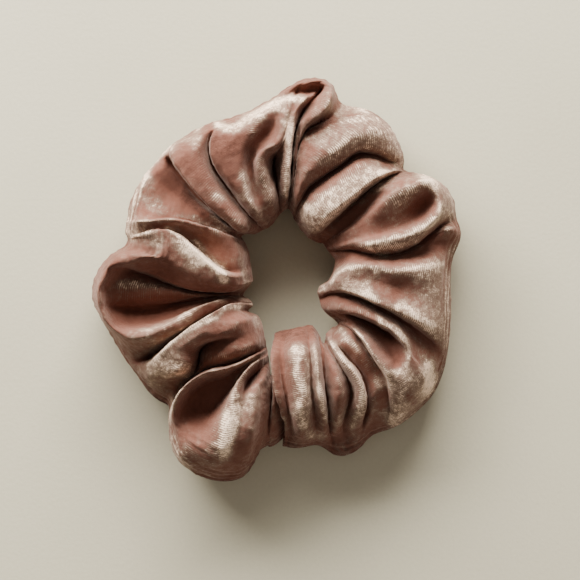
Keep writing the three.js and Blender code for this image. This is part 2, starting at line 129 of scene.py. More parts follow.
    ("T", [(790,1060,11.5),(792,1100,16.5),(796,1150,18),(802,1200,17.5),(806,1250,15),(810,1290,12),(812,1320,9),(814,1340,7)]),
    ("T", [(835,1020,12),(838,1080,17.5),(845,1140,19.5),(850,1195,19),(852,1250,16),(852,1295,12.5),(852,1325,9.5),(850,1345,7)]),
]

N_OVER = 124     # rows over the top of the tube
N_UNDER = 38     # rows under it
N_FLAP = 4       # rows of seam allowance
PER_GAP = 6      # columns from one line to the next
RELIEF = 1.20    # how much the folds' depth is drawn out from the lines
TUCK = 0.55      # how far a tucked crease runs under its crest


def grid_to_mm(x, y):
    return (x / 3.5636 - 217.0) * 0.286, (220.0 - y / 3.5636) * 0.286


def resample(points, n):
    """n points spread evenly along a smooth curve through points."""
    p = np.array(points, float)
    out, ts = [], [0.0]
    for a, b in zip(p, p[1:]):
        ts.append(ts[-1] + max(np.linalg.norm(b - a), 1e-6) ** 0.5)
    ts = np.array(ts)
    m = np.zeros_like(p)
    m[1:-1] = (p[2:] - p[:-2]) / (ts[2:] - ts[:-2])[:, None]
    m[0] = (p[1] - p[0]) / (ts[1] - ts[0])
    m[-1] = (p[-1] - p[-2]) / (ts[-1] - ts[-2])
    fine = []
    for k in range(len(p) - 1):
        h = ts[k + 1] - ts[k]
        for s in np.linspace(0, 1, 24, endpoint=False):
            fine.append((2 * s**3 - 3 * s**2 + 1) * p[k] + (s**3 - 2 * s**2 + s) * h * m[k]
                        + (-2 * s**3 + 3 * s**2) * p[k + 1] + (s**3 - s**2) * h * m[k + 1])
    fine.append(p[-1])
    fine = np.array(fine)
    d = np.concatenate([[0], np.cumsum(np.linalg.norm(np.diff(fine, axis=0), axis=1))])
    want = np.linspace(0, d[-1], n)
    return np.stack([np.interp(want, d, fine[:, i]) for i in range(3)], 1)


def over_the_top():
    """The cloth's upper side: one column of N_OVER points for each line and PER_GAP - 1 between two."""
    kinds = [k for k, _ in LINES]
    rows = []
    for _, pts in LINES:
        mm = [(*grid_to_mm(x, y), z) for x, y, z in pts]
        rows.append(resample(mm, N_OVER))
    g = np.array(rows)                        # line, row, xyz
    n = len(g)
    t = np.linspace(0, 1, N_OVER)
    fade = np.clip(np.minimum(t, 1 - t) / 0.12, 0, 1)
    fade = fade * fade * (3 - 2 * fade)
    # draw out the relief round each line's neighbourhood
    z = g[:, :, 2].copy()
    mean = np.zeros_like(z)
    for k in range(n):
        near = [m for m in range(k - 4, k + 5) if 0 <= m < n]
        w = np.array([math.exp(-((m - k) / 3.0) ** 2) for m in near])
        mean[k] = (w[:, None] * z[near]).sum(0) / w.sum()
    z = z + (RELIEF - 1) * fade * (z - mean)
    low = np.array([0.72 if k in "HT" else 1.0 for k in kinds])[:, None]
    g[:, :, 2] = np.where(z > 25, 25 + (z - 25) * 0.5, z) * low
    # tuck the creases under their crests
    src = g.copy()
    for k in range(1, n - 1):
        if kinds[k] in ("V+", "V-"):
            to = k + 1 if kinds[k] == "V+" else k - 1
            g[k, :, :2] += (TUCK * fade)[:, None] * (src[to, :, :2] - src[k, :, :2])
        elif kinds[k] == "V":
            g[k, :, 2] -= 0.8 * fade
    dz = np.diff(g[:, :, 2], axis=0)          # line gap, row
    left, right = np.zeros((n, N_OVER)), np.zeros((n, N_OVER))
    for k in range(n):
        before = dz[k - 1] if k > 0 else dz[0]
        after = dz[k] if k < n - 1 else dz[-1]
        same = before * after > 0
        soft = np.where(same, 2 * before * after / np.where(same, before + after, 1), 0)
        if kinds[k][0] == "V":
            # a pressed crease: the cloth comes down steeply on both sides
            left[k] = np.where(before < 0, 2.4 * before, soft)
            right[k] = np.where(after > 0, 2.4 * after, soft)
        else:
            left[k] = right[k] = soft
    step = np.linalg.norm(np.diff(g[:, :, :2], axis=0), axis=2) + 1e-6
    plan = np.zeros((n, N_OVER, 2))
    plan[0], plan[-1] = g[1, :, :2] - g[0, :, :2], g[-1, :, :2] - g[-2, :, :2]
    d0, d1 = step[:-1], step[1:]
    e0, e1 = np.diff(g[:, :, :2], axis=0)[:-1] / d0[..., None], np.diff(g[:, :, :2], axis=0)[1:] / d1[..., None]
    plan[1:-1] = (e0 * d1[..., None] + e1 * d0[..., None]) / (d0 + d1)[..., None]
    smooth = 0.35 + 0.65 * np.clip((t - 0.72) / 0.2, 0, 1)
    cols, line_at = [], []
    for k in range(n - 1):
        d = step[k][:, None]
        for i in range(PER_GAP):
            s = i / PER_GAP
            h00, h10, h01, h11 = 2*s**3 - 3*s**2 + 1, s**3 - 2*s**2 + s, -2*s**3 + 3*s**2, s**3 - s**2
            z = h00 * g[k, :, 2] + h10 * right[k] + h01 * g[k + 1, :, 2] + h11 * left[k + 1]
            m0 = plan[k] * (d if 0 < k else 1)
            m1 = plan[k + 1] * (d if k + 1 < n - 1 else 1)
            xy = h00 * g[k, :, :2] + h10 * m0 + h01 * g[k + 1, :, :2] + h11 * m1
            lin = (1 - s) * g[k, :, :2] + s * g[k + 1, :, :2]
            xy = smooth[:, None] * xy + (1 - smooth)[:, None] * lin
            cols.append(np.concatenate([xy, z[:, None]], 1))
            line_at.append(k + s)
    cols.append(g[-1])
    line_at.append(n - 1)
    top = np.array(cols)
    # ease the outline: near the outer edge the cloth runs in one sweep from gather to gather
    k = np.exp(-0.5 * (np.arange(-9, 10) / 3.6) ** 2)
    k /= k.sum()
    pad = np.concatenate([np.repeat(top[:1], 9, 0), top, np.repeat(top[-1:], 9, 0)])
    swept = sum(k[i] * pad[i:i + len(top)] for i in range(19))
    swept[:8], swept[-14:] = top[:8], top[-14:]
    w = 0.85 * np.clip((t - 0.78) / 0.16, 0, 1)[None, :, None]
    return top * (1 - w) + swept * w, np.array(line_at)


def build_sleeve():
    top, line_at = over_the_top()
    nu = len(top)
    kinds = [k for k, _ in LINES]
    crest = np.array([{"R": 1.0, "D": 0.45, "V": 0.0, "H": 0.3, "T": -0.2}[k[0]] for k in kinds])
    c = np.interp(line_at, np.arange(len(kinds)), crest)
    k = np.exp(-0.5 * (np.arange(-12, 13) / 5.0) ** 2)
    c = np.convolve(np.pad(c, 12, mode="edge"), k / k.sum(), "valid")     # the weight presses the gathers' feet together
    inner, outer = top[:, 0], top[:, -1]
    # the underside, from the inner edge to the outer edge
    under = np.zeros((nu, N_UNDER + 2, 3))
    phi = np.linspace(0, math.pi, N_UNDER + 2)
    for i in range(nu):
        a, b = inner[i], outer[i]
        mid, half = (a[:2] + b[:2]) / 2, (b[:2] - a[:2]) / 2
        cs, sn = np.cos(phi), np.sin(phi)
        x = -np.sign(cs) * np.abs(cs) ** (2 / 2.5)
        down = sn ** (2 / 2.7)
        zb = 0.25 + 4.2 * max(0.78 - c[i], 0) * np.sin(phi) ** 0.7
        ze = a[2] + (b[2] - a[2]) * (x + 1) / 2
        under[i, :, :2] = mid + x[:, None] * half
        under[i, :, 2] = ze - (ze - zb) * down
    # the flaps of the seam allowance, inside the outer edge
    inward = inner[:, :2] - outer[:, :2]
    inward /= np.linalg.norm(inward, axis=1)[:, None]
    def flap(dz, n):
        f = np.zeros((nu, n, 3))
        for j in range(n):
            d = 1.0 + 5.5 * (j + 1) / n
            f[:, j, :2] = outer[:, :2] + inward * d
            f[:, j, 2] = outer[:, 2] + dz
        return f
    f_top, f_low = flap(0.35, N_FLAP), flap(-0.35, N_FLAP)
    rows = np.concatenate([f_top[:, ::-1], top[:, ::-1], under[:, 1:-1], under[:, -1:], f_low], axis=1)
    return rows, line_at



# ---------------------------------------------------------------------------------------------
# Where the pile is brushed flat and shines (up to 1) or stands and shows its full colour (down to -1), with painted
# light laid into the same table: the thin bright lines along crests and rims and the brightest spots are painted
# highlights, and many dark patches in hollows and under overhangs (the panel under the upper left ridges, the dish, the
# dimple, the teardrop's floor) are painted shade. Each patch is (value, half width, points) on the same plan grid, laid
# down in this order.
# ---------------------------------------------------------------------------------------------
PILE_AND_PAINTED_LIGHT_PATCHES = [
    # broad grounds, anticlockwise from the closing seam
    (0.80, 84, [(1180,1160),(1230,1190),(1190,1250)]), (0.50, 90, [(1060,800),(1160,800),(1280,800),(1335,860)]),
    (0.5, 70, [(1330,900),(1345,980)]), (-0.15, 45, [(1230,985),(1290,1020),(1335,1040)]),
    (0.0, 60, [(1160,450),(1210,430),(1200,500)]), (-0.45, 44, [(1130,500),(1070,560),(1015,610),(980,655)]),
    (0.5, 62, [(960,310),(1060,280),(1130,280),(1170,330)]), (-0.2, 48, [(885,385),(872,440),(850,500)]),
    (-1.25, 60, [(560,300),(620,310),(660,350),(620,400)]), (-1.15, 40, [(440,350),(500,400),(560,450),(620,520)]),
    (0.1, 50, [(320,450),(360,520),(330,540)]), (-0.3, 42, [(480,600),(560,640),(620,662),(655,690)]),
    (-0.45, 40, [(380,710),(420,760),(520,790),(610,800)]), (-0.8, 46, [(250,890),(330,895),(400,870)]),
    (-0.55, 60, [(570,955),(620,965),(685,975),(610,1005),(690,1010)]), (-0.45, 60, [(450,1180),(520,1240),(470,1300)]),
    (-0.2, 46, [(450,1330),(510,1370),(560,1420)]), (-0.45, 36, [(500,1465),(560,1482),(620,1465)]),
    (-0.15, 60, [(1000,1350),(1060,1360),(1110,1330)]), (-0.1, 60, [(800,1150),(900,1180),(1000,1150)]),
    # the mouth and the bundle beside it
    (-1.5, 36, [(780,985),(842,965),(890,955)]), (-0.6, 22, [(775,1015),(782,1080),(792,1150)]),
    (0.45, 32, [(850,1040),(872,1110),(876,1200),(868,1290)]), (0.85, 12, [(834,1020),(850,1062),(842,1110),(860,1158),(846,1210),(862,1262),(858,1310)]), (-0.2, 10, [(866,1075),(862,1120)]), (-0.15, 10, [(842,1165),(848,1190)]), (0.7, 12, [(884,1070),(894,1140),(890,1190),(904,1250)]),
    (0.7, 14, [(905,1030),(912,1100),(922,1160),(942,1230),(956,1285)]), (-0.65, 17, [(938,1035),(962,1080),(976,1150),(985,1225)]),
    (0.65, 12, [(965,1010),(985,1060),(1012,1100),(1040,1150),(1036,1205),(1002,1290)]),
    (0.55, 15, [(968,1000),(1000,1040),(1034,1080),(1066,1130),(1080,1185),(1060,1262),(1042,1300)]), (0.9, 9, [(1000,1045),(1030,1085)]), (0.9, 9, [(1082,1195),(1070,1240)]),
    (0.5, 13, [(1000,960),(1030,1000),(1062,1032)]), (-0.2, 16, [(1060,1062),(1090,1102),(1106,1165)]),
    (-0.4, 20, [(810,1350),(850,1335)]), (0.6, 20, [(795,1290),(815,1310)]), (0.6, 16, [(890,1335),(935,1345)]),
    # the lower right lobe and the ringed fold above it
    (0.8, 18, [(1135,1230),(1162,1268),(1200,1290)]), (-0.3, 24, [(1150,1195),(1140,1232)]), (0.9, 12, [(1160,1150),(1180,1160)]),
    (-0.2, 16, [(1240,1190),(1260,1215)]), (1.5, 26, [(1310,1090),(1322,1132),(1310,1175)]), (0.7, 14, [(1340,1185),(1360,1150),(1372,1100)]),
    (-0.8, 24, [(950,852),(1005,860),(1065,872),(1120,890)]), (-0.4, 20, [(985,892),(1060,892),(1112,912)]),
    (0.55, 15, [(1132,920),(1152,948),(1200,960),(1228,1000),(1238,1040)]), (0.9, 9, [(1134,944),(1144,955)]),
    # the teardrop's dark floor is painted shade and its bright rim a painted highlight
    (-0.85, 28, [(1132,1000),(1170,1040),(1190,1068)]),
    (0.9, 9, [(1238,1040),(1235,1080),(1210,1105),(1180,1114),(1150,1105),(1122,1080),(1100,1040),(1078,1000),(1050,960)]),
    # the right lobe
    (0.95, 30, [(1020,808),(1062,830),(1112,852)]), (0.9, 26, [(1180,865),(1222,880),(1262,910),(1312,948)]),
    (-0.7, 20, [(1200,828),(1178,848)]), (-0.25, 20, [(1150,852),(1130,800)]), (-0.2, 26, [(1160,785),(1220,790)]),
    (0.9, 9, [(968,792),(985,762),(1010,745),(1050,735),(1100,735),(1122,748),(1200,752),(1260,742),(1310,735),(1362,726)]),
    (0.8, 14, [(920,820),(940,808)]), (0.6, 12, [(1385,760),(1392,860),(1395,960),(1388,1060)]),
    # the band and the fold over it
    (-0.3, 30, [(1105,702),(1180,716),(1250,706),(1312,680),(1332,660)]), (-0.65, 30, [(1000,700),(1042,690),(1070,702)]),
    (-0.9, 22, [(955,655),(985,690)]), (0.5, 20, [(1140,665),(1200,672),(1262,655)]),
    (0.9, 8, [(1095,655),(1132,650),(1180,640),(1240,625),(1290,608),(1332,588)]), (0.9, 13, [(1095,665),(1120,686),(1160,696)]),
    (-0.6, 22, [(1402,590),(1424,622),(1400,650),(1350,662)]), (0.65, 13, [(1388,690),(1402,672),(1430,660)]),
    # the lobe above, with its dimple, whose dark patch is painted shade
    (1.15, 26, [(1290,415),(1322,432),(1332,462)]), (0.4, 36, [(1212,520),(1222,560),(1190,580)]), (0.5, 20, [(1230,480),(1260,470)]),
    (-0.8, 26, [(1296,522),(1318,526),(1284,545)]), (0.75, 11, [(1330,480),(1352,520),(1346,560),(1310,590),(1260,605)]),
    (0.5, 22, [(1385,490),(1392,540),(1372,592)]),
    # the bright roll
    (0.95, 34, [(880,545),(930,518),(1000,470),(1060,440),(1120,402),(1165,400)]), (0.8, 36, [(900,590),(960,562),(1020,512),(1080,470),(1132,430)]),
    (-0.45, 20, [(892,492),(945,445),(1002,404),(1060,372)]), (1.0, 13, [(872,512),(885,530),(892,548)]), (-0.3, 20, [(882,628),(912,645)]),
    # the upper right face and its puckered rim
    (0.75, 12, [(938,242),(1000,226),(1062,216),(1130,216)]), (0.6, 14, [(1160,232),(1196,280),(1220,340),(1222,372)]),
    (0.4, 12, [(852,250),(880,290),(902,312)]), (-0.55, 18, [(880,315),(902,330),(935,340)]), (0.3, 18, [(962,372),(1002,350)]),
    (-0.3, 12, [(1150,365),(1175,380)]), (0.9, 24, [(985,190),(1012,166),(1042,156),(1086,176)]),
    # the curl at the top
    (-0.5, 18, [(772,125),(832,96),(880,72),(932,68),(965,100),(980,160)]), (-0.45, 22, [(870,102),(902,92),(922,102)]),
    (0.55, 9, [(960,158),(946,190)]), (-0.65, 24, [(882,150),(870,190),(890,230),(930,236),(960,216)]),
    # the bright top and the arch
    (1.2, 20, [(562,232),(592,246),(625,250),(662,215),(702,190),(742,172),(782,150),(822,142),(862,142)]),
    (1.0, 22, [(715,205),(760,186),(802,192),(815,232),(815,290)]), (0.85, 12, [(820,230),(822,300),(818,370),(812,432),(806,482)]),
    (-0.4, 12, [(752,205),(792,205)]), (-0.35, 30, [(730,265),(752,272)]), (0.15, 16, [(706,360),(714,400),(740,460)]),
    (-0.4, 20, [(620,170),(660,160)]), (0.55, 30, [(662,415),(682,450),(690,478)]), (0.25, 26, [(645,490),(722,560)]),
    # the upper left ridges and panel; the dark patches on the panel under the ridges are painted shade
    (0.45, 20, [(566,482),(582,495)]), (0.35, 24, [(400,298),(440,280),(482,284)]), (0.9, 9, [(490,252),(500,236)]),
    (-1.3, 34, [(372,415),(420,455),(470,505),(520,545)]), (-0.9, 18, [(340,392),(380,412),(430,450)]), (0.8, 28, [(306,486),(338,522)]), (0.5, 12, [(480,558),(540,588),(590,606)]), (0.3, 24, [(320,450),(330,470)]),
    (0.95, 13, [(395,308),(350,345),(318,395),(290,450),(266,510),(244,565),(236,600),(262,640)]),
    (0.8, 18, [(272,577),(302,570)]), (0.5, 10, [(400,565),(442,555),(500,578),(562,596),(602,604)]), (0.4, 16, [(540,560),(585,590)]),
    # the left fold and its swirl; the brightest streaks on the fold and the thin line along its crest are painted
    # highlights
    (0.5, 26, [(432,650),(462,680),(472,730)]), (1.1, 26, [(452,664),(476,692),(500,722)]), (1.5, 22, [(486,660),(506,702),(540,718),(572,750),(586,786)]),
    (0.8, 9, [(385,600),(432,630),(472,650),(500,682)]), (-0.7, 20, [(400,800),(500,812),(600,822)]), (0.6, 14, [(645,722),(656,760),(666,792)]),
    (0.85, 26, [(270,612),(322,622),(345,650),(300,655)]), (0.7, 8, [(366,640),(360,680),(342,700)]),
    # the dish; its dark patches, the darkened lip among them, are painted shade
    (-0.35, 22, [(170,712),(232,686),(302,672)]), (-1.1, 26, [(202,718),(150,735),(122,780),(108,830),(124,900)]),
    (-0.7, 26, [(300,745),(382,752),(402,790)]), (0.55, 13, [(222,792),(282,802),(342,806),(420,812)]), (-0.65, 18, [(200,835),(300,835),(400,832)]),
    (-0.9, 34, [(260,880),(332,888),(400,870)]), (0.4, 13, [(300,960),(362,940),(422,918),(482,888)]), (0.3, 10, [(300,1000),(382,990),(452,950),(542,908)]),
    (-0.45, 22, [(200,942),(232,982),(252,1012)]), (0.35, 16, [(520,852),(562,856),(592,872)]), (0.3, 12, [(642,852),(682,872)]),
    # the light lobe and the rose face
    (0.9, 42, [(345,1060),(335,1100),(392,1085),(450,1040),(440,1120)]), (0.95, 10, [(640,880),(602,880),(552,920),(502,942),(452,970),(402,1004),(352,1050)]),
    (-0.75, 26, [(462,1032),(472,1062)]), (0.5, 9, [(690,1032),(642,1070),(582,1092),(522,1102),(482,1122)]),
    (0.35, 20, [(330,1160),(372,1182),(402,1202)]), (0.5, 14, [(700,925),(716,945)]),
    # the lower left lobe
    (-0.8, 34, [(482,1172),(502,1208)]), (-0.8, 32, [(470,1252),(520,1255)]), (0.8, 9, [(482,1115),(442,1150),(412,1202),(394,1252),(386,1300)]),
    (0.6, 22, [(400,1350),(420,1420),(442,1450)]), (1.15, 30, [(602,1262),(602,1330),(590,1390),(640,1232)]), (0.6, 22, [(622,1192),(662,1202),(692,1222)]),
    (-0.55, 26, [(652,1372),(682,1402),(642,1422)]), (0.5, 9, [(702,1062),(662,1092),(632,1132),(616,1182)]), (-0.4, 16, [(692,1112),(672,1150),(662,1166)]),
]


def to_grid(x, y):
    return (x / 0.286 + 217.0) * 3.5636, (220.0 - y / 0.286) * 3.5636


def away_from(px, py, pts):
    """Distance from each point to a path."""
    best = np.full(px.shape, 1e9)
    if len(pts) == 1:
        return np.hypot(px - pts[0][0], py - pts[0][1])
    for (ax, ay), (bx, by) in zip(pts, pts[1:]):
        dx, dy = bx - ax, by - ay
        s = np.clip(((px - ax) * dx + (py - ay) * dy) / (dx * dx + dy * dy + 1e-9), 0, 1)
        best = np.minimum(best, np.hypot(px - ax - s * dx, py - ay - s * dy))
    return best


def lay_pile_and_painted_light(rows):
    px, py = to_grid(rows[..., 0], rows[..., 1])
    value = np.full(px.shape, -0.12)
    for v, w, pts in PILE_AND_PAINTED_LIGHT_PATCHES:
        d = away_from(px, py, pts) / w
        k = 0.92 * np.exp(-0.5 * (np.maximum(d - 0.25, 0) / 0.55) ** 2)
        value = value * (1 - k) + v * k
    return value


def surface_normals(rows):
    a = np.gradient(rows, axis=0)
    b = np.gradient(rows, axis=1)
    n = np.cross(b, a)
    n /= np.linalg.norm(n, axis=2)[..., None] + 1e-9
    return n


def fbm(points, size, octaves=3, seed=0.0):
    """Smooth noise about zero, its largest waves size mm long."""
    out = np.empty(len(points))
    for i, q in enumerate(points / size + seed):
        out[i] = noise.fractal(Vector(q), 0.6, 2.1, octaves)
    return out


def finish_sleeve(rows, line_at):
    """Add the small relief of the cloth: the seam's ridges and pucker, the rim's wrinkles and a crushed pile; also the
    attributes that colour it, which carry painted highlights, painted shade and painted bounce light besides the pile's
    own tone.
    """
    nu, nv = rows.shape[:2]
    n_top0 = N_FLAP                              # the first row of the top, at the outer edge
    n_top1 = N_FLAP + N_OVER                     # one past its last, at the inner edge
    nrm = surface_normals(rows)
    # which way is out: up for the top, down for the underside
    side = np.ones(nv)
    mean_z = nrm[:, n_top0 + 20:n_top1 - 20, 2].mean()
    if mean_z < 0:
        nrm = -nrm
    arc = np.concatenate([np.zeros((nu, 1)), np.cumsum(np.linalg.norm(np.diff(rows, axis=1), axis=2), 1)], 1)
    from_seam = np.abs(arc - arc[:, n_top0:n_top0 + 1])
    on_flap = np.zeros(nv, bool)
    on_flap[:N_FLAP] = True
    on_flap[-N_FLAP:] = True
    along = np.concatenate([[0], np.cumsum(np.linalg.norm(np.diff(rows[:, n_top0], axis=0), axis=1))])
    flat = rows.reshape(-1, 3)
    soft = fbm(flat, 5.5, 3, 3.1).reshape(nu, nv)
    fine = fbm(flat * np.array([1, 1, 1.0]), 2.0, 2, 9.7).reshape(nu, nv)
    move = 0.27 * soft + 0.11 * fine
    # the seam: a groove, the ridge of the allowance under it and a pucker across it
    s = from_seam
    seam = -0.55 * np.exp(-(s / 0.45) ** 2) + 0.30 * np.exp(-((s - 1.2) / 0.5) ** 2)
    seam += -0.22 * np.exp(-((s - 2.1) / 0.35) ** 2) + 0.18 * np.exp(-((s - 3.0) / 0.5) ** 2)
    pucker = np.sin(2 * math.pi * along / 2.9 + 1.6 * np.sin(along / 7.0))[:, None]
    seam = seam + 0.16 * pucker * np.exp(-s / 2.6)
    # wrinkles that run with the ribs where the rim is drawn in
    px, py = to_grid(rows[..., 0], rows[..., 1])
    top_rows = ((np.arange(nv) >= n_top0) & (np.arange(nv) < n_top1)).astype(float)

    def zone(pts, w):
        return np.exp(-0.5 * (away_from(px, py, pts) / w) ** 2)
    inset = np.linalg.norm(rows[..., :2] - rows[:, n_top0:n_top0 + 1, :2], axis=2)
    rolled = np.clip(1 - np.abs(line_at - 19.5) / 4.5, 0, 1) + np.clip(1 - np.abs(line_at - 76.5) / 3.5, 0, 1)
    rolled = rolled + 0.9 * np.clip(1 - np.abs(line_at - 51.0) / 4.0, 0, 1)
    rolled = np.sqrt(rolled)[:, None] * top_rows[None, :]
    lines = sum(a * np.exp(-((inset - q) / 0.27) ** 2) for q, a in
                ((0.75, -0.24), (1.25, 0.20), (1.8, -0.30), (2.35, 0.20), (2.9, -0.20)))
    move = move + rolled * lines
    rim = zone([(960,240),(1040,225),(1120,230),(1180,270),(1205,320)], 26)
    wave = np.sin(2 * math.pi * from_seam / 1.25 + 1.3 * soft)
    move = move + 0.30 * rim * wave
    swirl = zone([(265,615),(330,612),(375,650),(350,700)], 22)
    move = move + 0.26 * swirl * np.sin(2 * math.pi * from_seam / 1.5)
    pull = zone([(395,1300),(480,1350),(560,1400),(640,1440)], 14)
    d = away_from(px, py, [(392,1292),(480,1345),(570,1402),(680,1442)])
    move = move - 0.45 * np.exp(-((d - 4) / 5) ** 2) * np.exp(-0.5 * (away_from(px, py, [(400,1300),(660,1438)]) / 40) ** 2)
    d2 = away_from(px, py, [(388,1312),(470,1368),(560,1424),(668,1462)])
    move = move - 0.30 * np.exp(-((d2 - 2) / 5) ** 2)
    move[:, on_flap] = 0
    seam[:, on_flap] = 0
    edge = np.clip(from_seam / 0.8, 0.25, 1)
    out = rows + nrm * (move * edge + seam)[..., None]
    out[..., 2] = np.maximum(out[..., 2], 0.05)
    # how the cloth bends along the tube: over a crest, or down into a crease; the material lightens the colour over
    # crests with it (painted highlight) and darkens it in creases (painted shade)
    bend = np.zeros((nu, nv))
    for w in (2, 4):
        a = out[np.clip(np.arange(nu) - w, 0, nu - 1)]
        b = out[np.clip(np.arange(nu) + w, 0, nu - 1)]
        bend += ((out - (a + b) / 2) * nrm).sum(2) / (0.35 * w) / 2
    bend = np.clip(bend, -1.5, 1.5)
    # how deep it lies below the crests round it; the material darkens the colour with it (painted shade) and mixes in a
    # brighter rose there (painted bounce light)
    z = out[..., 2]
    high = z.copy()
    for k in (4, 8, 12, 16):
        for q in (-k, k):
            high = np.maximum(high, z[np.clip(np.arange(nu) + q, 0, nu - 1)])
    hollow_shade_and_bounce = np.clip((high - z) / 11.0, 0, 1)
    hollow_shade_and_bounce[:, :n_top0] = 1
    hollow_shade_and_bounce[:, n_top1:] = 0.25
    # rib coordinate: mm round the tube, its scale eased along it
    total = arc[:, -1]
    pad = np.concatenate([np.full(30, total[0]), total, np.full(30, total[-1])])
    smooth = np.convolve(pad, np.hanning(61) / np.hanning(61).sum(), "valid")
    share = (arc / total[:, None]).mean(0)
    rib = 0.7 * share[None, :] * smooth[:, None] + 0.3 * arc
    # patches on the top, fading under the edges; the rolled lines at the rim add a painted highlight on their ridges
    # and a little painted shade in their grooves
    pile_and_painted_light = lay_pile_and_painted_light(out) + 1.6 * rolled * np.maximum(lines, -0.2)
    mask = np.ones((nu, nv))
    mask[:, on_flap] = 0.2
    under = np.arange(nv) >= n_top1
    under &= ~on_flap
    down = np.clip((out[..., 2] - 4.0) / 6.0, 0.0, 1.0)
    mask[:, under] = down[:, under]
    loose = 0.5 * fbm(flat, 14.0, 2, 21.3).reshape(nu, nv)
    pile_and_painted_light = pile_and_painted_light * mask + (1 - mask) * (loose - 0.1)
    return out, {"pile_and_painted_light": pile_and_painted_light, "bend": bend, "hollow_shade_and_bounce": hollow_shade_and_bounce, "rib": rib}


def turn_hem(rows, attrs, radius=0.6, depth=4.0):
    """Turn the mouth's edge in, as a narrow hem, before the first column."""
    nrm = surface_normals(rows)
    if nrm[:, N_FLAP + 20:N_FLAP + 60, 2].mean() < 0:
        nrm = -nrm
    out_dir = rows[0] - rows[2]
    out_dir /= np.linalg.norm(out_dir, axis=1)[:, None] + 1e-9
    n0 = nrm[0]
    nv = rows.shape[1]
    at = np.arange(nv)
    away = np.minimum(at - N_FLAP, nv - 1 - N_FLAP - at)
    w = np.clip(away / 12.0, 0.0, 1.0)[:, None]        # narrows towards the long seam
    radius = 0.08 + (radius - 0.08) * w
    depth = 0.9 + (depth - 0.9) * w
    cols = []
    for a in (50, 95, 140, 180):
        r = math.radians(a)
        cols.append(rows[0] + out_dir * radius * math.sin(r) - n0 * radius * (1 - math.cos(r)))
    for k in (1, 2, 3):
        cols.append(rows[0] - n0 * 2 * radius - out_dir * depth * k / 3)
    cols = np.array(cols)[::-1]
    cols[..., 2] = np.maximum(cols[..., 2], 0.3)
    grown = {k: np.concatenate([np.repeat(v[:1], len(cols), 0), v]) for k, v in attrs.items()}
    return np.concatenate([cols, rows]), grown


def mesh_from_rows(name, rows):
    nu, nv = rows.shape[:2]
    verts = rows.reshape(-1, 3) * MM
    i, j = np.meshgrid(np.arange(nu - 1), np.arange(nv - 1), indexing="ij")
    a = i * nv + j
    faces = np.stack([a, a + 1, a + nv + 1, a + nv], -1).reshape(-1, 4)
    me = bpy.data.meshes.new(name)
    me.from_pydata(verts.tolist(), [], faces.tolist())
    me.polygons.foreach_set("use_smooth", np.ones(len(faces), bool))
    # cloth coordinates in metres: u along the tube, v round it
    du = np.linalg.norm(np.diff(rows, axis=0), axis=2).mean(1)
    u = np.concatenate([[0], np.cumsum(du)]) * MM
    dv = np.linalg.norm(np.diff(rows, axis=1), axis=2).mean(0)
    v = np.concatenate([[0], np.cumsum(dv)]) * MM
    layer = me.uv_layers.new(name="cloth")
    loops = np.zeros(len(me.loops), int)
    me.loops.foreach_get("vertex_index", loops)
    uv = np.stack([u[loops // nv], v[loops % nv]], 1)
    layer.data.foreach_set("uv", uv.ravel())
    ob = bpy.data.objects.new(name, me)
    bpy.context.scene.collection.objects.link(ob)
    return ob


def put(me, name, values, kind="FLOAT"):
    at = me.attributes.new(name, kind, "POINT")
    at.data.foreach_set("value" if kind == "FLOAT" else "vector", np.asarray(values, float).ravel())


# ---------------------------------------------------------------------------------------------
# Materials
# ---------------------------------------------------------------------------------------------
class Nodes:
    """Short names for wiring a material."""

    def __init__(self, name):
        self.mat = bpy.data.materials.new(name)
        self.mat.use_nodes = True
        self.t = self.mat.node_tree
        self.out = self.t.nodes["Material Output"]
        self.bsdf = self.t.nodes["Principled BSDF"]

    def _set(self, node, idx, v):
        if isinstance(v, bpy.types.NodeSocket):
            self.t.links.new(v, node.inputs[idx])
        elif v is not None:
            node.inputs[idx].default_value = v

    def math(self, op, a, b=None, c=None, clamp=False):
        n = self.t.nodes.new("ShaderNodeMath")
        n.operation, n.use_clamp = op, clamp
        for i, v in enumerate((a, b, c)):
            self._set(n, i, v)
        return n.outputs[0]

    def add(self, *terms):
        total = terms[0]
        for q in terms[1:]:
            total = self.math("ADD", total, q)
        return total

    def mul(self, a, b):
        return self.math("MULTIPLY", a, b)

    def attr(self, name, vector=False):
        n = self.t.nodes.new("ShaderNodeAttribute")
        n.attribute_name = name
        return n.outputs["Vector"] if vector else n.outputs["Fac"]

    def scaled(self, vec, by):
        n = self.t.nodes.new("ShaderNodeVectorMath")
        n.operation = "MULTIPLY"
        self._set(n, 0, vec)
        n.inputs[1].default_value = by
        return n.outputs[0]

    def noise(self, vec, scale, detail=2.0, rough=0.5, warp=0.0):
        n = self.t.nodes.new("ShaderNodeTexNoise")
        self._set(n, "Vector", vec)
        n.inputs["Scale"].default_value = scale
        n.inputs["Detail"].default_value = detail
        n.inputs["Roughness"].default_value = rough
        n.inputs["Distortion"].default_value = warp
        return n.outputs["Fac"]

    def ramp(self, fac, stops, ease="LINEAR"):
        n = self.t.nodes.new("ShaderNodeValToRGB")
        n.color_ramp.interpolation = ease
        e = n.color_ramp.elements
        while len(e) < len(stops):
            e.new(0.5)
        for q, (at, col) in zip(e, stops):
            q.position, q.color = at, (*col, 1)
        self._set(n, 0, fac)
        return n.outputs[0]

    def span(self, v, a, b, c, d):
        n = self.t.nodes.new("ShaderNodeMapRange")
        self._set(n, 0, v)
        for i, q in enumerate((a, b, c, d)):
            n.inputs[i + 1].default_value = q
        return n.outputs[0]

    def bump(self, height, distance, normal=None):
        n = self.t.nodes.new("ShaderNodeBump")
        n.inputs["Strength"].default_value = 1.0
        n.inputs["Distance"].default_value = distance
        self._set(n, "Height", height)
        if normal is not None:
            self._set(n, "Normal", normal)
        return n.outputs[0]


